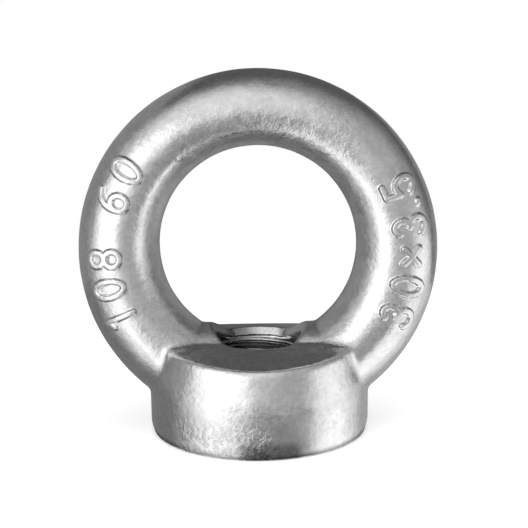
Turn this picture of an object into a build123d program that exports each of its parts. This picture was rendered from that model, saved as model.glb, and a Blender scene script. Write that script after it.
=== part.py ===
from build123d import *
import os
from math import cos, radians, sin, sqrt, tan

# Lifting eye nut for an M30 bolt: a carrying ring and a round foot, drop-forged in one piece.
# The ring stands in the XZ plane. Sizes are in millimetres.
# The origin is the middle of the flat underside, which bears on the load.

# Ring: the eye sits a little above the ring's own centre, so the ring is thinnest at the top
ring_outer_diameter = 108.0
ring_above_underside = 0.7
eye_diameter = 59.4
eye_rise = 1.9
ring_thickness_top = 25.8
ring_thickness_bottom = 29.0

# Floor of the eye: a short level bar that cuts off the bottom of the eye's circle
eye_floor_rise = 5.5
eye_floor_end = 4.4

# Foot: straight below, drawn in above towards a rounded rim, with a crowned land inside the eye
foot_diameter = 67.0
foot_straight_height = 10.5
foot_shoulder_radius = 30.0
foot_taper_angle = 12.0
foot_rim_rounding = 2.0
land_below_eye_floor = 3.9
land_crown_radius = 145.0
bottom_bevel_width = 0.9
bottom_bevel_height = 2.8

# Fillet where the ring and the eye's floor grow out of the foot
root_fillet = 2.2

# Thread: the bore is modelled at the thread's minor diameter
thread_diameter = 30.0
thread_pitch = 3.5
minor_diameter_factor = 1.0825
lead_in_clearance = 1.0

# Countersink where the bore breaks out in the eye
countersink_width = 1.4
countersink_depth = 2.6

# The ring is drawn through this many sections, and its ends are buried in the foot
ring_sections = 9
ring_end_angle = 4.0

ring_outer_radius = ring_outer_diameter / 2
eye_radius = eye_diameter / 2
core_radius = (ring_outer_radius + eye_radius) / 2
core_height = ring_outer_radius + ring_above_underside + eye_rise / 2
eye_centre_height = ring_outer_radius + ring_above_underside + eye_rise
eye_floor_height = eye_centre_height - eye_radius + eye_floor_rise
eye_floor_half_chord = sqrt(eye_radius**2 - (eye_radius - eye_floor_rise) ** 2)
land_height = eye_floor_height - land_below_eye_floor
foot_radius = foot_diameter / 2
bore_diameter = thread_diameter - minor_diameter_factor * thread_pitch
lead_in = (thread_diameter + lead_in_clearance - bore_diameter) / 2


def section_plane(turn):
    """Plane across the ring, turned from its top towards +X."""
    outward = Vector(sin(turn), 0, cos(turn))
    along = Vector(cos(turn), 0, -sin(turn))
    middle = Vector(0, 0, core_height) + outward * core_radius
    return Plane(middle, x_dir=outward, z_dir=along)


def half_width(turn):
    """Half of the ring's width from the eye outwards, which the raised eye makes uneven."""
    return (ring_outer_radius - eye_radius - eye_rise * cos(turn)) / 2


def half_thickness(turn):
    """Half of the ring's thickness along Y, which grows from its top to its bottom."""
    growth = (1 - cos(turn)) / 2
    return (ring_thickness_top + (ring_thickness_bottom - ring_thickness_top) * growth) / 2


with BuildPart() as eye_nut:
    # Foot, turned about the bore's axis
    with BuildSketch(Plane.XZ):
        with BuildLine():
            straight = Polyline(
                (0, 0),
                (foot_radius - bottom_bevel_width, 0),
                (foot_radius, bottom_bevel_height),
                (foot_radius, foot_straight_height),
            )
            shoulder = JernArc(straight @ 1, (0, 1), foot_shoulder_radius, foot_taper_angle)
            rise = land_height + foot_rim_rounding - (shoulder @ 1).Y
            draw_in = rise * tan(radians(foot_taper_angle))
            taper = Line(shoulder @ 1, shoulder @ 1 + Vector(-draw_in, rise))
            Polyline(taper @ 1, (0, (taper @ 1).Y), (0, 0))
        make_face()
    revolve(axis=Axis.Z)

    # Land inside the eye, falling away to the front and the back as a forging does
    with BuildSketch(Plane.YZ):
        with Locations((0, land_height - land_crown_radius)):
            Circle(land_crown_radius)
    extrude(amount=foot_radius, both=True, mode=Mode.INTERSECT)
    rim = eye_nut.faces().sort_by(Axis.Z)[-1].edges()
    fillet(rim, foot_rim_rounding)

    # Floor of the eye, with the ring's own section laid straight
    with BuildSketch(Plane.YZ):
        with Locations((0, eye_floor_height - half_width(radians(180)))):
            Ellipse(half_thickness(radians(180)), half_width(radians(180)))
    extrude(amount=eye_floor_half_chord + eye_floor_end, both=True)

    # Ring, swept through sections that follow the raised eye
    with BuildLine(Plane.XZ):
        core = CenterArc(
            (0, core_height),
            core_radius,
            270 - ring_end_angle,
            2 * ring_end_angle - 360,
        )
    for step in range(ring_sections):
        turn = radians((180 - ring_end_angle) * (2 * step / (ring_sections - 1) - 1))
        with BuildSketch(section_plane(turn)):
            Ellipse(half_width(turn), half_thickness(turn))
    sweep(path=core, multisection=True)

    # Roots: the ring and the floor share their edges with the foot and with each other
    ring_face = eye_nut.faces().sort_by(SortBy.AREA)[-1]
    floor_faces = eye_nut.faces().filter_by(GeomType.EXTRUSION)
    root_edges = ShapeList(ring_face.edges() + floor_faces.edges()).filter_by(GeomType.BSPLINE)
    fillet(root_edges.filter_by_position(Axis.Z, 0, eye_centre_height), root_fillet)

    # Bore, with a lead-in below and a countersink where it breaks out in the eye
    with BuildSketch(Plane.XY):
        Circle(bore_diameter / 2)
    extrude(amount=core_height, mode=Mode.SUBTRACT)
    middle_of_bore = Vertex(0, 0, land_height / 2)
    wall = eye_nut.faces().filter_by(GeomType.CYLINDER).sort_by_distance(middle_of_bore)[0]
    bore_end = wall.edges().filter_by(GeomType.BSPLINE)
    chamfer(bore_end, countersink_depth, countersink_width, reference=wall)
    underside = eye_nut.faces().sort_by(Axis.Z)[0]
    chamfer(underside.inner_wires()[0].edges(), lead_in)

eye_nut.part.label = "eye_nut"
os.makedirs("parts", exist_ok=True)
export_step(eye_nut.part, "parts/eye_nut.step")
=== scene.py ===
import bmesh
import bpy
import math
import numpy as np
from mathutils import Matrix, Vector, noise
from mathutils.bvhtree import BVHTree


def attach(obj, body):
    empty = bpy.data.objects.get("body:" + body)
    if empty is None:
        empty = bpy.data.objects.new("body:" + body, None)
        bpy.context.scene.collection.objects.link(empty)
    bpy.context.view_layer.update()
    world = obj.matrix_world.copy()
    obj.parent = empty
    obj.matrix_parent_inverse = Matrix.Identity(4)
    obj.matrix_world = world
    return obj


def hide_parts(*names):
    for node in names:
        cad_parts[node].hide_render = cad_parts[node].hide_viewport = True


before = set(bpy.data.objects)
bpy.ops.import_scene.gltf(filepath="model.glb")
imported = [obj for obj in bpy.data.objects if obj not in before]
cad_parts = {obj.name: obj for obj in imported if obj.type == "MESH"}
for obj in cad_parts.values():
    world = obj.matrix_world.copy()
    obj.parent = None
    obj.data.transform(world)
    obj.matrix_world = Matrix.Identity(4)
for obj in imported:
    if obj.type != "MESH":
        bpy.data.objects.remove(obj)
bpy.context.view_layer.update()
scene = bpy.context.scene
scene.view_settings.view_transform = "Standard"

MM = 0.001

# Sizes that the looks share with the solid, in millimetres
RING_RADIUS = 54.0
RING_LIFT = 0.7
EYE_RADIUS = 29.7
EYE_RISE = 1.9
RING_THICKNESS_TOP = 25.8
RING_THICKNESS_BOTTOM = 29.0
FOOT_RADIUS = 33.5
BOTTOM_RADIUS = 32.6
BEVEL_SLOPE = 0.32
MINOR_RADIUS = 13.106
MAJOR_RADIUS = 15.0
PITCH = 3.5
LEAD_IN_RADIUS = 15.5
COUNTERSINK_WIDTH = 1.4
COUNTERSINK_DEPTH = 2.6

# What follows from them: the raised eye's middle, and the ring's core circle
EYE_HEIGHT = RING_RADIUS + RING_LIFT + EYE_RISE
CORE_HEIGHT = RING_RADIUS + RING_LIFT + EYE_RISE / 2
CORE_RADIUS = (RING_RADIUS + EYE_RADIUS) / 2

# Height at which the thread ends, and over which its ridges fade there, in millimetres
THREAD_TOP = 26.5
THREAD_RUN_OUT = 1.6

# Mesh before its cuts, in millimetres
NET_STEP = 0.74
NARROWED_BORE_RADIUS = 11.0
FOOT_CARRIED_ON = 3.0
CLOSE_TO_FACE = 0.02

# Points closer than this become one, in metres
WELD = 1e-7

# Easing of the mesh: rounds of laying it back on the solid, steps in each, and a step's share
EASING_ROUNDS = 2
EASING_STEPS = 3
EASING_SHARE = 0.5

# A point is laid on the ring's true surface where it is close to it and above the roots
RING_GAP = 0.22
RING_GAP_FADE = 0.14
ROOT_TOP = 26.0
ROOT_FADE = 6.0

# Waves of the forged skin in millimetres: length, shift and height
BROAD_WAVE = (13.0, (0, 0, 0), 0.07)
DENT_WAVE = (4.2, (31, 7, 3), 0.03)
FINE_WAVE = (1.9, (5, 17, 43), 0.008)
SKIN_WAVES = (BROAD_WAVE, DENT_WAVE, FINE_WAVE)

# Largest angle between two faces that are shaded as one, in degrees
SMOOTH_ANGLE = 38

# Net of the bore's cutter: turns, steps in a turn and rows in a pitch
CUTTER_TURNS = 12
CUTTER_STEPS = 144
CUTTER_ROWS = 14

# Heights from which the cutter starts and from which the bore's upper edge is looked for
CUTTER_BOTTOM = -2.0
LOOK_DOWN_HEIGHT = 45.0

# How far its cones go on: the lead-in in millimetres, the countersink as a share of its width
LEAD_IN_OVERRUN = 2.0
COUNTERSINK_OVERRUN = 1.2

# Thread profile: share of half a pitch at which its crest ends and its root starts
THREAD_CREST = 0.25
THREAD_ROOT = 0.875

# Camera, fitted to the photograph: millimetres, degrees and pixels
CAMERA_DISTANCE = 300.0
CAMERA_ELEVATION = 10.372
CAMERA_AZIMUTH = -0.03
CAMERA_ROLL = -0.579
CAMERA_TARGET_HEIGHT = 44.971
FOCAL_PIXELS = 985.613
IMAGE_CENTRE = (258.245, 282.102)
IMAGE_SIZE = 528
SENSOR_WIDTH = 36.0


def direction(azimuth, elevation):
    """Unit vector at those degrees. Azimuth 0 is towards the camera and 90 towards +X."""
    a, e = math.radians(azimuth), math.radians(elevation)
    return Vector((math.sin(a) * math.cos(e), -math.cos(a) * math.cos(e), math.sin(e)))


def make_camera():
    """The photograph's camera, whose axis isn't in the middle of the image."""
    azimuth, roll = math.radians(CAMERA_AZIMUTH), math.radians(CAMERA_ROLL)
    back = direction(CAMERA_AZIMUTH, CAMERA_ELEVATION)
    level = Vector((math.cos(azimuth), math.sin(azimuth), 0))
    upright = back.cross(level)
    right = math.cos(roll) * level + math.sin(roll) * upright
    up = math.cos(roll) * upright - math.sin(roll) * level
    data = bpy.data.cameras.new("camera")
    data.sensor_width = SENSOR_WIDTH
    data.lens = SENSOR_WIDTH * FOCAL_PIXELS / IMAGE_SIZE
    data.shift_x = (IMAGE_SIZE / 2 - IMAGE_CENTRE[0]) / IMAGE_SIZE
    data.shift_y = (IMAGE_CENTRE[1] - IMAGE_SIZE / 2) / IMAGE_SIZE
    data.clip_start = 0.01
    data.clip_end = 50
    camera = bpy.data.objects.new("camera", data)
    place = Matrix((right, up, back)).transposed().to_4x4()
    place.translation = Vector((0, 0, CAMERA_TARGET_HEIGHT * MM)) + back * (CAMERA_DISTANCE * MM)
    camera.matrix_world = place
    scene.collection.objects.link(camera)
    scene.camera = camera


def new_object(name, mesh):
    """An object with that mesh, in the scene."""
    obj = bpy.data.objects.new(name, mesh)
    scene.collection.objects.link(obj)
    return obj


def new_mesh(name, bm):
    """A mesh from a bmesh, which is freed."""
    mesh = bpy.data.meshes.new(name)
    bm.to_mesh(mesh)
    bm.free()
    return mesh


def coordinates(mesh):
    """The mesh's points as rows, in metres."""
    co = np.empty(len(mesh.vertices) * 3, np.float32)
    mesh.vertices.foreach_get("co", co)
    return co.reshape(-1, 3).astype(float)


def set_coordinates(mesh, co):
    """Moves the mesh's points to those rows."""
    mesh.vertices.foreach_set("co", np.asarray(co, np.float32).ravel())
    mesh.update()


def normals(mesh):
    """The normals at the mesh's points as rows."""
    no = np.empty(len(mesh.vertices) * 3, np.float32)
    mesh.vertex_normals.foreach_get("vector", no)
    return no.reshape(-1, 3).astype(float)


def surface_tree(mesh):
    """A search tree of the mesh's faces."""
    faces = [tuple(p.vertices) for p in mesh.polygons]
    return BVHTree.FromPolygons([v.co for v in mesh.vertices], faces)


def evaluated_copy(obj, name):
    """A mesh with the object's modifiers applied; the object is removed."""
    graph = bpy.context.evaluated_depsgraph_get()
    mesh = bpy.data.meshes.new_from_object(obj.evaluated_get(graph))
    mesh.name = name
    bpy.data.objects.remove(obj)
    return mesh


def open_source():
    """The solid's mesh, with its bore narrowed and its foot carried on below.

    Both are cut crisp later.
    """
    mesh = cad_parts["eye_nut"].data.copy()
    mesh.materials.clear()
    bm = bmesh.new()
    bm.from_mesh(mesh)
    bmesh.ops.remove_doubles(bm, verts=bm.verts, dist=WELD)
    for v in bm.verts:
        x, y, z = v.co / MM
        r = math.hypot(x, y)
        if r < MINOR_RADIUS + CLOSE_TO_FACE and z < CORE_HEIGHT:
            v.co.xy *= NARROWED_BORE_RADIUS / r
        elif z < CLOSE_TO_FACE and r < LEAD_IN_RADIUS + CLOSE_TO_FACE:
            v.co.xy *= NARROWED_BORE_RADIUS / r
            v.co.z = -FOOT_CARRIED_ON * MM
        elif z < CLOSE_TO_FACE:
            v.co.xy *= (BOTTOM_RADIUS - BEVEL_SLOPE * FOOT_CARRIED_ON) / r
            v.co.z = -FOOT_CARRIED_ON * MM
    bm.to_mesh(mesh)
    bm.free()
    return mesh


ARC_STEPS = 14


def arc(x, y, wide, high, first, last):
    """Points along an arc, with angles in degrees from +x."""
    turns = [math.radians(first + (last - first) * i / ARC_STEPS) for i in range(ARC_STEPS + 1)]
    return [(x + wide * math.cos(t), y + high * math.sin(t)) for t in turns]


# Strokes of the raised size marks, in a cell one unit wide and one and a half high
CELL_MIDDLE = (0.5, 0.75)
STROKES = {
    "0": [arc(0.5, 0.75, 0.38, 0.68, 0, 360)],
    "1": [[(0.22, 1.16), (0.52, 1.43), (0.52, 0.07)]],
    "3": [arc(0.46, 1.08, 0.34, 0.35, 150, -80), arc(0.46, 0.42, 0.38, 0.36, 90, -150)],
    "5": [[(0.82, 1.42), (0.22, 1.42), (0.17, 0.8)], arc(0.46, 0.48, 0.38, 0.42, 125, -150)],
    "6": [arc(0.5, 0.45, 0.36, 0.38, 0, 360), arc(0.86, 0.5, 0.72, 0.93, 180, 95)],
    "8": [arc(0.5, 1.09, 0.3, 0.33, 0, 360), arc(0.5, 0.41, 0.37, 0.34, 0, 360)],
    "x": [[(0.15, 0.4), (0.85, 1.1)], [(0.15, 1.1), (0.85, 0.4)]],
    ".": [[(0.46, 0.12), (0.54, 0.12)]],
}

# Ring, eye and thread sizes stand on the ring: mark, and its angle from the ring's top towards +X
LEFT_MARKS = (("1", -114.5), ("0", -103.0), ("8", -91.5), ("6", -69.3), ("0", -57.0))
RIGHT_MARKS = (("3", 114.5), ("0", 103.0), ("x", 91.5), ("3", 80.0), (".", 72.5), ("5", 65.0))

# Size of the marks and their strokes in millimetres; the offset is outwards from the core circle
MARK_WIDTH = 6.4
MARK_OFFSET = 2.6
STROKE_HALF_WIDTH = 0.45
STROKE_FLANK = 0.75
STROKE_HEIGHT = 0.85

# How far a mark reaches along the ring and across it, and where the ring's front starts
MARK_REACH_ALONG = 6.0
MARK_REACH_ACROSS = 7.0
RING_FRONT = -4.0

# A distance that stands for far away, and how far round the strokes the mesh is finer
FAR_AWAY = 99.0
FINE_MARGIN = 0.45


def ring_place(co):
    """Angle from the ring's top, distance from its core circle and depth of each point."""
    turn = np.arctan2(co[:, 0], co[:, 2] - CORE_HEIGHT)
    out = np.hypot(co[:, 0], co[:, 2] - CORE_HEIGHT) - CORE_RADIUS
    return turn, out, co[:, 1]


def line_distance(x, y, line):
    """Distance of each point from a line of points, in cell units."""
    nearest = np.full(len(x), FAR_AWAY)
    for (x0, y0), (x1, y1) in zip(line, line[1:]):
        dx, dy = x1 - x0, y1 - y0
        t = np.clip(((x - x0) * dx + (y - y0) * dy) / (dx * dx + dy * dy), 0, 1)
        nearest = np.minimum(nearest, np.hypot(x - x0 - t * dx, y - y0 - t * dy))
    return nearest


def stroke_distance(co):
    """Distance of each point on the ring's front from the nearest stroke, in millimetres."""
    turn, out, depth = ring_place(co)
    across = out - MARK_OFFSET
    nearest = np.full(len(co), FAR_AWAY)
    beside = (depth < RING_FRONT) & (abs(across) < MARK_REACH_ACROSS)
    for marks, side in ((LEFT_MARKS, 1), (RIGHT_MARKS, -1)):
        for mark, angle in marks:
            along = (turn - math.radians(angle)) * (CORE_RADIUS + MARK_OFFSET) * side
            near = np.flatnonzero(beside & (abs(along) < MARK_REACH_ALONG))
            x = along[near] / MARK_WIDTH + CELL_MIDDLE[0]
            y = across[near] * side / MARK_WIDTH + CELL_MIDDLE[1]
            for line in STROKES[mark]:
                far = line_distance(x, y, line) * MARK_WIDTH
                nearest[near] = np.minimum(nearest[near], far)
    return nearest


def refine(mesh):
    """Splits the faces where the marks go, so that their strokes come out crisp."""
    reach = STROKE_HALF_WIDTH + STROKE_FLANK + FINE_MARGIN
    close = stroke_distance(coordinates(mesh) / MM) < reach
    bm = bmesh.new()
    bm.from_mesh(mesh)
    faces = {f for f in bm.faces if any(close[v.index] for v in f.verts)}
    edges = [e for e in bm.edges if any(f in faces for f in e.link_faces)]
    bmesh.ops.subdivide_edges(bm, edges=edges, cuts=2, use_grid_fill=True)
    bm.to_mesh(mesh)
    bm.free()


def on_ring(co):
    """Points near the ring's true surface are moved onto it, and those of the roots stay."""
    turn, out, depth = ring_place(co)
    half_width = (RING_RADIUS - EYE_RADIUS - EYE_RISE * np.cos(turn)) / 2
    growth = (RING_THICKNESS_BOTTOM - RING_THICKNESS_TOP) * (1 - np.cos(turn)) / 2
    half_thickness = (RING_THICKNESS_TOP + growth) / 2
    scale = 1 / np.hypot(out / half_width, depth / half_thickness)
    gap = abs(np.hypot(out, depth) * (1 - scale))
    share = np.clip((RING_GAP - gap) / RING_GAP_FADE, 0, 1)
    share = share * np.clip((co[:, 2] - ROOT_TOP) / ROOT_FADE, 0, 1)
    scale = 1 + (scale - 1) * share
    reach = CORE_RADIUS + out * scale
    sideways, up = np.sin(turn) * reach, CORE_HEIGHT + np.cos(turn) * reach
    return np.stack([sideways, depth * scale, up], axis=1)


def even_mesh(source):
    """An even net of small faces over the source, laid back on it and eased."""
    obj = new_object("net", source.copy())
    remesh = obj.modifiers.new("remesh", "REMESH")
    remesh.mode = "VOXEL"
    remesh.voxel_size = NET_STEP * MM
    mesh = evaluated_copy(obj, "net")
    refine(mesh)
    tree = surface_tree(source)
    edges = np.empty(len(mesh.edges) * 2, np.int32)
    mesh.edges.foreach_get("vertices", edges)
    edges = edges.reshape(-1, 2)
    count = np.bincount(edges.ravel(), minlength=len(mesh.vertices))[:, None]
    co = coordinates(mesh)
    for _ in range(EASING_ROUNDS):
        co = np.array([tree.find_nearest(Vector(p))[0] for p in co])
        for _ in range(EASING_STEPS):
            total = np.zeros_like(co)
            np.add.at(total, edges[:, 0], co[edges[:, 1]])
            np.add.at(total, edges[:, 1], co[edges[:, 0]])
            co = co + EASING_SHARE * (total / count - co)
    set_coordinates(mesh, on_ring(co / MM) * MM)
    return mesh


def forge(mesh):
    """Shallow waves and dents in the skin, as dies and scale leave them, and the raised marks."""
    co = coordinates(mesh)
    lift = np.zeros(len(co))
    for i, p in enumerate(co / MM):
        for length, shift, height in SKIN_WAVES:
            lift[i] += noise.noise(Vector(p) / length + Vector(shift)) * height
    outside = STROKE_HALF_WIDTH + STROKE_FLANK - stroke_distance(co / MM)
    rise = np.clip(outside / STROKE_FLANK, 0, 1)
    lift += STROKE_HEIGHT * rise * rise * (3 - 2 * rise)
    set_coordinates(mesh, co + normals(mesh) * lift[:, None] * MM)


def cut_flat(mesh):
    """Cuts the underside flat at the floor."""
    bm = bmesh.new()
    bm.from_mesh(mesh)
    geometry = bm.verts[:] + bm.edges[:] + bm.faces[:]
    cut = bmesh.ops.bisect_plane(
        bm, geom=geometry, dist=WELD, plane_co=(0, 0, 0), plane_no=(0, 0, -1), clear_outer=True
    )
    rim = [e for e in cut["geom_cut"] if isinstance(e, bmesh.types.BMEdge)]
    bmesh.ops.contextual_create(bm, geom=rim)
    bmesh.ops.recalc_face_normals(bm, faces=bm.faces)
    bm.to_mesh(mesh)
    bm.free()


def thread_radius(height):
    """Radius of the M30 nut thread at a height within one pitch, in millimetres."""
    t = abs((height / PITCH) % 1.0 - 0.5) * 2
    share = min(max((t - THREAD_CREST) / (THREAD_ROOT - THREAD_CREST), 0), 1)
    return MINOR_RADIUS + (MAJOR_RADIUS - MINOR_RADIUS) * share


def bore_radius(z, top, risen):
    """Radius of the bore at a height, in millimetres.

    Top is the height at which it breaks out there, and risen how far the thread has risen there.
    """
    lead_in = min(LEAD_IN_RADIUS - z, LEAD_IN_RADIUS + LEAD_IN_OVERRUN)
    widening = min(1 + (z - top) / COUNTERSINK_DEPTH, COUNTERSINK_OVERRUN)
    countersink = MINOR_RADIUS + COUNTERSINK_WIDTH * widening
    end = min(top - COUNTERSINK_DEPTH, THREAD_TOP)
    full = min(max((end - z) / THREAD_RUN_OUT + 0.5, 0), 1)
    thread = MINOR_RADIUS + full * (thread_radius(z - risen) - MINOR_RADIUS)
    return max(thread, lead_in, countersink)


def thread_cutter(body):
    """The space inside the threaded bore, with its lead-in below and its countersink above."""
    rows = CUTTER_TURNS * CUTTER_ROWS
    tree = surface_tree(body)
    bm = bmesh.new()
    grid = []
    for j in range(CUTTER_STEPS):
        turn = 2 * math.pi * j / CUTTER_STEPS
        risen = PITCH * j / CUTTER_STEPS
        outward = Vector((math.cos(turn), math.sin(turn), 0))
        above = outward * (MINOR_RADIUS + COUNTERSINK_WIDTH) + Vector((0, 0, LOOK_DOWN_HEIGHT))
        top = tree.ray_cast(above * MM, Vector((0, 0, -1)))[0].z / MM
        column = []
        for k in range(rows + 1):
            z = CUTTER_BOTTOM + (k - CUTTER_ROWS) * PITCH / CUTTER_ROWS + risen
            point = outward * bore_radius(z, top, risen) + Vector((0, 0, z))
            column.append(bm.verts.new(point * MM))
        grid.append(column)
    for j in range(CUTTER_STEPS):
        shift = CUTTER_ROWS if j == CUTTER_STEPS - 1 else 0
        one, two = grid[j], grid[(j + 1) % CUTTER_STEPS]
        for k in range(rows - shift):
            bm.faces.new((one[k], two[k + shift], two[k + 1 + shift], one[k + 1]))
    rims = [e for e in bm.edges if e.is_boundary]
    bmesh.ops.holes_fill(bm, edges=rims)
    bmesh.ops.triangulate(bm, faces=[f for f in bm.faces if len(f.verts) > 4])
    bmesh.ops.recalc_face_normals(bm, faces=bm.faces)
    return new_mesh("bore_space", bm)


def bored(mesh):
    """The mesh with the threaded bore cut out of it."""
    body = new_object("forged_body", mesh)
    cutter = new_object("bore_space", thread_cutter(mesh))
    boolean = body.modifiers.new("bore", "BOOLEAN")
    boolean.operation = "DIFFERENCE"
    boolean.solver = "EXACT"
    boolean.object = cutter
    result = evaluated_copy(body, "forged_body")
    bpy.data.objects.remove(cutter)
    return result


def node(tree, kind, **values):
    """A new node with those properties."""
    made = tree.nodes.new(kind)
    for name, value in values.items():
        setattr(made, name, value)
    return made


NOISE_ROUGHNESS = 0.6


def mottle(tree, place, size, detail, offset):
    """Cloudy noise with patches of that size in millimetres, from about 0 to 1."""
    mapping = node(tree, "ShaderNodeMapping")
    mapping.inputs["Location"].default_value = offset
    tree.links.new(place, mapping.inputs["Vector"])
    cloud = node(tree, "ShaderNodeTexNoise")
    cloud.inputs["Scale"].default_value = 1 / (size * MM)
    cloud.inputs["Detail"].default_value = detail
    cloud.inputs["Roughness"].default_value = NOISE_ROUGHNESS
    tree.links.new(mapping.outputs[0], cloud.inputs["Vector"])
    return cloud.outputs["Fac"]


def ranged(tree, value, low, high, to_low, to_high):
    """The value carried from one range to another, and kept inside it."""
    made = node(tree, "ShaderNodeMapRange", interpolation_type="SMOOTHSTEP")
    made.inputs["From Min"].default_value = low
    made.inputs["From Max"].default_value = high
    made.inputs["To Min"].default_value = to_low
    made.inputs["To Max"].default_value = to_high
    tree.links.new(value, made.inputs["Value"])
    return made.outputs[0]


def joined(tree, operation, one, two):
    """One number made of two, each an output or a constant."""
    made = node(tree, "ShaderNodeMath", operation=operation)
    for slot, value in zip(made.inputs, (one, two)):
        if isinstance(value, (int, float)):
            slot.default_value = value
        else:
            tree.links.new(value, slot)
    return made.outputs[0]


def times(tree, one, two):
    """The product of two numbers."""
    return joined(tree, "MULTIPLY", one, two)


def plus(tree, one, two):
    """The sum of two numbers."""
    return joined(tree, "ADD", one, two)


def minus(tree, one, two):
    """The first number less the second."""
    return joined(tree, "SUBTRACT", one, two)


def grey(tree, value):
    """A colour with that value in every channel."""
    colour = node(tree, "ShaderNodeCombineColor")
    for channel in colour.inputs:
        tree.links.new(value, channel)
    return colour.outputs[0]


def distance(tree, place, axes, middle=(0, 0, 0)):
    """Distance of the place from that middle, measured along the chosen axes only."""
    away = node(tree, "ShaderNodeVectorMath", operation="MULTIPLY_ADD")
    away.inputs[1].default_value = axes
    away.inputs[2].default_value = [-m for m in middle]
    tree.links.new(place, away.inputs[0])
    length = node(tree, "ShaderNodeVectorMath", operation="LENGTH")
    tree.links.new(away.outputs[0], length.inputs[0])
    return length.outputs["Value"]


def within(tree, value, start, end, fade):
    """1 where the value lies between start and end, and 0 past the fade on both sides."""
    rise = ranged(tree, value, start - fade, start, 0, 1)
    fall = ranged(tree, value, end, end + fade, 1, 0)
    return times(tree, rise, fall)


def front_patch(tree, x, y, z, sides, heights, fade):
    """1 in a patch on the nut's front, between those sides and heights in metres."""
    patch = times(tree, within(tree, x, *sides, fade), within(tree, z, *heights, fade))
    return times(tree, patch, ranged(tree, y, *FRONT, 1, 0))


# Patterns of the zinc: size of their patches in millimetres, detail, and shift in metres
BROAD = (9, 2, (0, 0, 0))
CLOUD = (3.6, 4, (0.031, 0.007, 0.013))
SPECKLE = (1.3, 3, (0.003, 0.041, 0.017))
CRUMBS = (1.5, 3, (0.013, 0.027, 0.007))
GRAIN = (0.28, 2, (0.023, 0.011, 0.037))
FLAKES = (2.4, 2, (0.009, 0.033, 0.021))
COARSE = (14, 2, (0.021, 0.003, 0.045))

# Range of each pattern that counts, and for some the least and the most that it gives
CRUMBS_FROM_TO = (0.45, 0.57)
FLAKES_FROM_TO = (0.46, 0.56)
COARSE_FROM_TO = (0.42, 0.6)
COARSE_LEAST_MOST = (0.25, 1.2)
DARKER_BOTTOM_FROM_TO = (0.35, 0.55)
DARKER_BOTTOM_LEAST_MOST = (0.5, 1)

# Patches on the front: their sides, heights and fade, and the depth at which the front ends
PITTED_PATCH = ((-0.021, 0.002), (-0.001, 0.007), 0.005)
DARKER_BOTTOM_PATCH = ((-0.004, 0.010), (-0.001, 0.0035), 0.003)
BROW_PATCH = ((-0.022, 0.024), (0.086, 0.094), 0.006)
FRONT = (-0.006, -0.002)

# Edges of the bore's and the eye wall's zones in metres: distance from the axis, and height
BORE_WALL = (0.0148, 0.0154)
BORE_TOP = (0.036, 0.040)
EYE_WALL = (0.0325, 0.0355)
EYE_WALL_FOOT = (0.027, 0.031)

# Tone: the zinc's own, and what the patterns add or take
ZINC_TONE = 0.695
CLOUD_TONE = (0.35, 0.65, -0.04, 0.03)
SPECKLE_TONE = (0.35, 0.65, -0.025, 0.025)
COARSE_STAIN = 0.05
PITTED_STAIN = 0.12
DARKER_BOTTOM_TONE = 0.38
# Painted shade in the bore, over a little of the cut steel's own darker tone: from side to side in
# metres, and how much darker
BORE_TONE_AND_PAINTED_SHADE = (-0.009, 0.003, 0.6, 0.1)

# Roughness: the zinc's own, and what the patterns and zones add
CLOUD_ROUGHNESS = (0.3, 0.7, 0.11, 0.18)
BROAD_ROUGHNESS = (0.3, 0.7, -0.02, 0.03)
SPECKLE_ROUGHNESS = (0.35, 0.65, -0.03, 0.04)
BORE_ROUGHNESS = 0.07
EYE_WALL_ROUGHNESS = 0.2

# Relief of the patterns in millimetres
CLOUD_RELIEF = 0.115
SPECKLE_RELIEF = 0.06
CRUMBS_RELIEF = 0.012
GRAIN_RELIEF = 0.0012
FLAKES_RELIEF = 0.008
KNOCKS_RELIEF = 0.09


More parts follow.
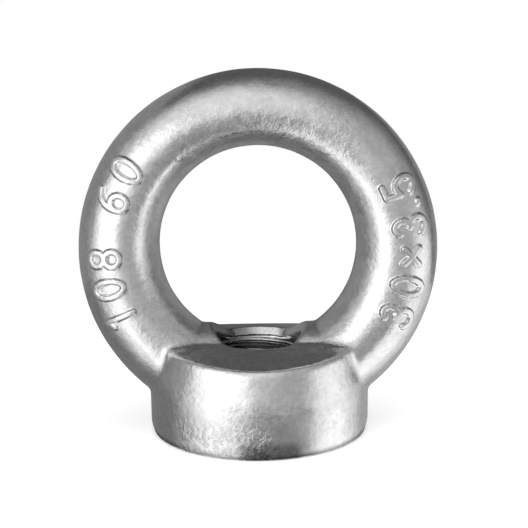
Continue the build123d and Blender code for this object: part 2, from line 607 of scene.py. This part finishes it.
def zinc():
    """Zinc plating, satin, over the uneven skin of a cleaned forging."""
    material = bpy.data.materials.new("zinc_plated_forging")
    material.use_nodes = True
    tree = material.node_tree
    shader = tree.nodes["Principled BSDF"]
    shader.inputs["Metallic"].default_value = 1.0
    place = node(tree, "ShaderNodeTexCoord").outputs["Object"]
    parts = node(tree, "ShaderNodeSeparateXYZ")
    tree.links.new(place, parts.inputs[0])
    x, y, z = parts.outputs

    # Patterns
    broad = mottle(tree, place, *BROAD)
    cloud = mottle(tree, place, *CLOUD)
    speckle = mottle(tree, place, *SPECKLE)
    crumbs = ranged(tree, mottle(tree, place, *CRUMBS), *CRUMBS_FROM_TO, 0, 1)
    grain = mottle(tree, place, *GRAIN)
    flakes = ranged(tree, mottle(tree, place, *FLAKES), *FLAKES_FROM_TO, 0, 1)

    # Low on the foot's front: a pitted patch of knocks, and a patch whose tone is darker at its
    # bottom edge
    pitted = front_patch(tree, x, y, z, *PITTED_PATCH)
    darker_bottom = front_patch(tree, x, y, z, *DARKER_BOTTOM_PATCH)
    darker_bottom = times(tree, darker_bottom, ranged(tree, cloud, *DARKER_BOTTOM_FROM_TO, *DARKER_BOTTOM_LEAST_MOST))

    # The skin is coarser in some patches, and all along the front of the eye's upper edge
    coarse = mottle(tree, place, *COARSE)
    coarse = ranged(tree, coarse, *COARSE_FROM_TO, *COARSE_LEAST_MOST)
    coarse = plus(tree, coarse, front_patch(tree, x, y, z, *BROW_PATCH))

    # The threaded bore is rougher metal, and darker: a little as the cut steel's own tone, the
    # rest painted shade, strongest on its left side
    from_axis = distance(tree, place, (1, 1, 0))
    bore = times(
        tree, ranged(tree, from_axis, *BORE_WALL, 1, 0), ranged(tree, z, *BORE_TOP, 1, 0)
    )

    # The eye's wall is duller than the rest
    from_eye = distance(tree, place, (1, 0, 1), (0, 0, EYE_HEIGHT * MM))
    eye_wall = times(
        tree, ranged(tree, from_eye, *EYE_WALL, 1, 0), ranged(tree, z, *EYE_WALL_FOOT, 0, 1)
    )

    # Tone
    tone = plus(tree, ranged(tree, cloud, *CLOUD_TONE), ZINC_TONE)
    tone = plus(tree, tone, ranged(tree, speckle, *SPECKLE_TONE))
    stain = plus(tree, times(tree, coarse, COARSE_STAIN), times(tree, pitted, PITTED_STAIN))
    tone = minus(tree, tone, times(tree, crumbs, stain))
    # Darker tone in a patch at the bottom edge of the foot's front
    tone = minus(tree, tone, times(tree, darker_bottom, DARKER_BOTTOM_TONE))
    # The bore darker: painted shade strongest on its left side, over a little of the cut steel's
    # own tone
    bore_tone_and_painted_shade = times(tree, bore, ranged(tree, x, *BORE_TONE_AND_PAINTED_SHADE))
    tone = times(tree, tone, ranged(tree, bore_tone_and_painted_shade, 0, 1, 1, 0))
    tree.links.new(grey(tree, tone), shader.inputs["Base Color"])

    # Roughness
    rough = ranged(tree, cloud, *CLOUD_ROUGHNESS)
    rough = plus(tree, rough, ranged(tree, broad, *BROAD_ROUGHNESS))
    rough = plus(tree, rough, ranged(tree, speckle, *SPECKLE_ROUGHNESS))
    rough = plus(tree, rough, ranged(tree, bore, 0, 1, 0, BORE_ROUGHNESS))
    rough = plus(tree, rough, ranged(tree, eye_wall, 0, 1, 0, EYE_WALL_ROUGHNESS))
    tree.links.new(rough, shader.inputs["Roughness"])

    # Relief
    skin = plus(tree, times(tree, speckle, SPECKLE_RELIEF), times(tree, crumbs, CRUMBS_RELIEF))
    knocks = times(tree, pitted, crumbs)
    height = times(tree, cloud, CLOUD_RELIEF)
    height = plus(tree, height, times(tree, skin, coarse))
    height = plus(tree, height, times(tree, grain, GRAIN_RELIEF))
    height = plus(tree, height, times(tree, flakes, FLAKES_RELIEF))
    height = plus(tree, height, times(tree, knocks, KNOCKS_RELIEF))
    bump = node(tree, "ShaderNodeBump")
    bump.inputs["Strength"].default_value = 1.0
    bump.inputs["Distance"].default_value = MM
    tree.links.new(height, bump.inputs["Height"])
    tree.links.new(bump.outputs[0], shader.inputs["Normal"])
    return material


def make_body():
    """The whole nut, forged and bored in one piece."""
    mesh = even_mesh(open_source())
    forge(mesh)
    cut_flat(mesh)
    mesh = bored(mesh)
    mesh.materials.clear()
    mesh.materials.append(zinc())
    mesh.shade_smooth()
    mesh.set_sharp_from_angle(angle=math.radians(SMOOTH_ANGLE))
    body = new_object("forged_body", mesh)
    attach(body, "root")
    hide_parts("eye_nut")


def seen(tree):
    """1 for what the camera, metal and glass see, 0 for the light that a thing gives."""
    path = node(tree, "ShaderNodeLightPath").outputs
    mirrored = joined(tree, "MAXIMUM", path["Is Camera Ray"], path["Is Glossy Ray"])
    return joined(tree, "MAXIMUM", mirrored, path["Is Transmission Ray"])


# The world's grey as a light
WORLD_GREY = 0.45


def make_world():
    """White where it is seen, and a soft grey light otherwise."""
    world = bpy.data.worlds.new("studio")
    scene.world = world
    world.use_nodes = True
    tree = world.node_tree
    background = tree.nodes["Background"]
    mix = node(tree, "ShaderNodeMix", data_type="RGBA")
    mix.inputs["A"].default_value = (WORLD_GREY, WORLD_GREY, WORLD_GREY, 1)
    mix.inputs["B"].default_value = (1, 1, 1, 1)
    tree.links.new(seen(tree), mix.inputs["Factor"])
    tree.links.new(mix.outputs["Result"], background.inputs["Color"])


# Floor in metres: its lit part fades into plain white, and it has no glow inside the foot's edge
FLOOR_RADIUS = 30
LIT_PART = (0.12, 0.4)
FOOT_EDGE = (0.031, 0.034)
FLOOR_SIDES = 96

# The floor's colour where it is lit, and how much less it glows there
LIT_COLOUR = 0.8
LIT_LOSS = 0.5


def surface_only(name):
    """A material without a shader yet, its node tree and the socket for the surface."""
    material = bpy.data.materials.new(name)
    material.use_nodes = True
    tree = material.node_tree
    tree.nodes.remove(tree.nodes["Principled BSDF"])
    return material, tree, tree.nodes["Material Output"].inputs["Surface"]


def make_floor():
    """A pale floor that is lit near the object and runs out into plain white."""
    bm = bmesh.new()
    bmesh.ops.create_circle(bm, cap_ends=True, segments=FLOOR_SIDES, radius=FLOOR_RADIUS)
    mesh = new_mesh("floor", bm)
    floor = new_object("floor", mesh)
    material, tree, surface = surface_only("paper")
    place = node(tree, "ShaderNodeTexCoord").outputs["Object"]
    reach = distance(tree, place, (1, 1, 1))
    lit = ranged(tree, reach, *LIT_PART, 1, 0)
    diffuse = node(tree, "ShaderNodeBsdfDiffuse")
    tree.links.new(grey(tree, times(tree, lit, LIT_COLOUR)), diffuse.inputs["Color"])
    glow = node(tree, "ShaderNodeEmission")
    strength = minus(tree, 1.0, times(tree, lit, LIT_LOSS))
    strength = times(tree, strength, ranged(tree, reach, *FOOT_EDGE, 0, 1))
    tree.links.new(times(tree, strength, seen(tree)), glow.inputs["Strength"])
    both = node(tree, "ShaderNodeAddShader")
    tree.links.new(diffuse.outputs[0], both.inputs[0])
    tree.links.new(glow.outputs[0], both.inputs[1])
    tree.links.new(both.outputs[0], surface)
    mesh.materials.append(material)


# Lamps: name, azimuth, elevation, distance, width, height and radiance, in degrees and metres
LAMPS = (
    ("box_left", -42, 30, 0.6, 0.5, 0.5, 1.6),
    ("box_right", 70, 35, 0.6, 0.45, 0.5, 1.2),
    ("box_top", 0, 80, 0.7, 0.7, 0.5, 1.0),
)
LAMP_TARGET = (0, 0, 0.05)


def make_lamps():
    """Large soft lamps that light the floor and aren't seen in the metal."""
    for name, azimuth, elevation, away, width, height, radiance in LAMPS:
        data = bpy.data.lights.new(name, "AREA")
        data.shape = "RECTANGLE"
        data.size = width
        data.size_y = height
        data.energy = radiance * math.pi * width * height
        lamp = bpy.data.objects.new(name, data)
        back = direction(azimuth, elevation)
        place = back.to_track_quat("Z", "Y").to_matrix().to_4x4()
        place.translation = Vector(LAMP_TARGET) + back * away
        lamp.matrix_world = place
        lamp.visible_camera = False
        lamp.visible_glossy = False
        scene.collection.objects.link(lamp)


# Light tent in metres
TENT_MIDDLE_HEIGHT = 0.055
TENT_FLOOR_HEIGHT = 0.0003
TENT_RADIUS = 0.2
TENT_FLOOR_RINGS = (
    0.0327, 0.0332, 0.0338, 0.0345, 0.036, 0.04, 0.045, 0.05,
    0.06, 0.07, 0.08, 0.1, 0.12, 0.15, 0.185,
)

# The tent's wall: lowest elevation in degrees, rows, and steps round
TENT_LOWEST = -15
TENT_ROWS = 30
TENT_STEPS = 120

# Bright patches of its wall: azimuth, elevation, angles at which it fades and is gone, strength
WALL_DIM = 0.12
LEFT_WINDOW = (-42, 0, 0, 40, 0.95)
RIGHT_WINDOW = (78, -25, 0, 40, 0.9)
FRONT_WASH = (10, -5, 50, 115, 0.4)
UPPER_LEFT_WASH = (-25, 30, 0, 57, 0.5)
LEFT_REAR_STRIP = (-117, 5, 45, 57, 0.18)
RIGHT_REAR_STRIP = (145, 0, 20, 36, 0.2)
WALL_GLOW = (
    LEFT_WINDOW,
    RIGHT_WINDOW,
    FRONT_WASH,
    UPPER_LEFT_WASH,
    LEFT_REAR_STRIP,
    RIGHT_REAR_STRIP,
)

# Bright sectors of its floor: azimuth, angles at which it fades and is gone, strength near and far
FLOOR_DIM = 0.02
LEFT_SECTOR = (-51, 0, 58, 1.2, 1.35)
RIGHT_SECTOR = (85, 8, 55, 1.4, 1.15)
FRONT_SECTOR = (-5, 40, 55, 0.3, 0.4)
LEFT_REAR_SECTOR = (-143, 38, 67, 0.2, 0.2)
RIGHT_REAR_SECTOR = (150, 20, 45, 0.45, 0.5)
FLOOR_GLOW = (LEFT_SECTOR, RIGHT_SECTOR, FRONT_SECTOR, LEFT_REAR_SECTOR, RIGHT_REAR_SECTOR)

# Where the floor's glow goes from near to far, and a painted contact shadow: the dimmer ring where
# it touches the foot
NEAR_FAR = (0.04, 0.15)
CONTACT_SHADOW_RING = (0.0328, 0.0345)
CONTACT_SHADOW_SHARE = 0.35


def smooth(start, end, value):
    """0 before start, 1 after end, and a smooth rise between them."""
    t = min(max((value - start) / (end - start), 0), 1)
    return t * t * (3 - 2 * t)


def wall_glow(point):
    """Brightness of the tent's wall in that direction from its middle."""
    glow = WALL_DIM
    for azimuth, elevation, even, gone, strength in WALL_GLOW:
        cosine = direction(azimuth, elevation).dot(point.normalized())
        outer, inner = math.cos(math.radians(gone)), math.cos(math.radians(even))
        glow += strength * smooth(outer, inner, cosine)
    return glow


def floor_glow(point):
    """Brightness of the tent's floor.

    Its sectors narrow towards the foot, whose wall mirrors them as upright bands. Next to the foot
    it dims, as a painted contact shadow.
    """
    reach = math.hypot(point.x, point.y)
    azimuth = math.degrees(math.atan2(point.x, -point.y))
    foot = FOOT_RADIUS * MM
    mirrored = azimuth * (1 + foot / (2 * reach - foot))
    mirrored = min(max(mirrored, -180), 180)
    away = smooth(*NEAR_FAR, reach)
    glow = FLOOR_DIM
    for middle, even, gone, near, far in FLOOR_GLOW:
        fade = 1 - smooth(even, gone, abs(mirrored - middle))
        glow += fade * (near + (far - near) * away)
    # Painted contact shadow: the glow dims where the floor touches the foot
    return glow * (CONTACT_SHADOW_SHARE + (1 - CONTACT_SHADOW_SHARE) * smooth(*CONTACT_SHADOW_RING, reach))


def tent_mesh():
    """The tent's floor, wall and top as one net, with its glow in every point."""
    rises = [TENT_LOWEST + (90 - TENT_LOWEST) * i / TENT_ROWS for i in range(TENT_ROWS + 1)]
    rises = [math.radians(e) for e in rises]
    profile = [(r, TENT_FLOOR_HEIGHT - TENT_MIDDLE_HEIGHT) for r in TENT_FLOOR_RINGS]
    profile += [(TENT_RADIUS * math.cos(e), TENT_RADIUS * math.sin(e)) for e in rises]
    bm = bmesh.new()
    glow = bm.verts.layers.float.new("glow")
    rings = []
    for i, (r, z) in enumerate(profile):
        brightness = floor_glow if i < len(TENT_FLOOR_RINGS) else wall_glow
        ring = []
        for j in range(TENT_STEPS):
            t = 2 * math.pi * j / TENT_STEPS
            vert = bm.verts.new((r * math.cos(t), r * math.sin(t), z))
            vert[glow] = brightness(vert.co)
            ring.append(vert)
        rings.append(ring)
    for one, two in zip(rings, rings[1:]):
        for j in range(TENT_STEPS):
            k = (j + 1) % TENT_STEPS
            bm.faces.new((one[j], one[k], two[k], two[j]))
    bmesh.ops.remove_doubles(bm, verts=bm.verts, dist=WELD)
    return new_mesh("light_tent", bm)


def make_tent():
    """A light tent of cloth round the object. It shows in reflections only."""
    mesh = tent_mesh()
    tent = new_object("light_tent", mesh)
    tent.location = (0, 0, TENT_MIDDLE_HEIGHT)
    material, tree, surface = surface_only("tent_cloth")
    emission = node(tree, "ShaderNodeEmission")
    strength = node(tree, "ShaderNodeAttribute", attribute_name="glow")
    tree.links.new(strength.outputs["Fac"], emission.inputs["Strength"])
    tree.links.new(emission.outputs[0], surface)
    mesh.materials.append(material)
    tent.visible_camera = False
    tent.visible_diffuse = False
    tent.visible_shadow = False
    tent.visible_transmission = False


make_camera()
make_world()
make_floor()
make_lamps()
make_tent()
make_body()
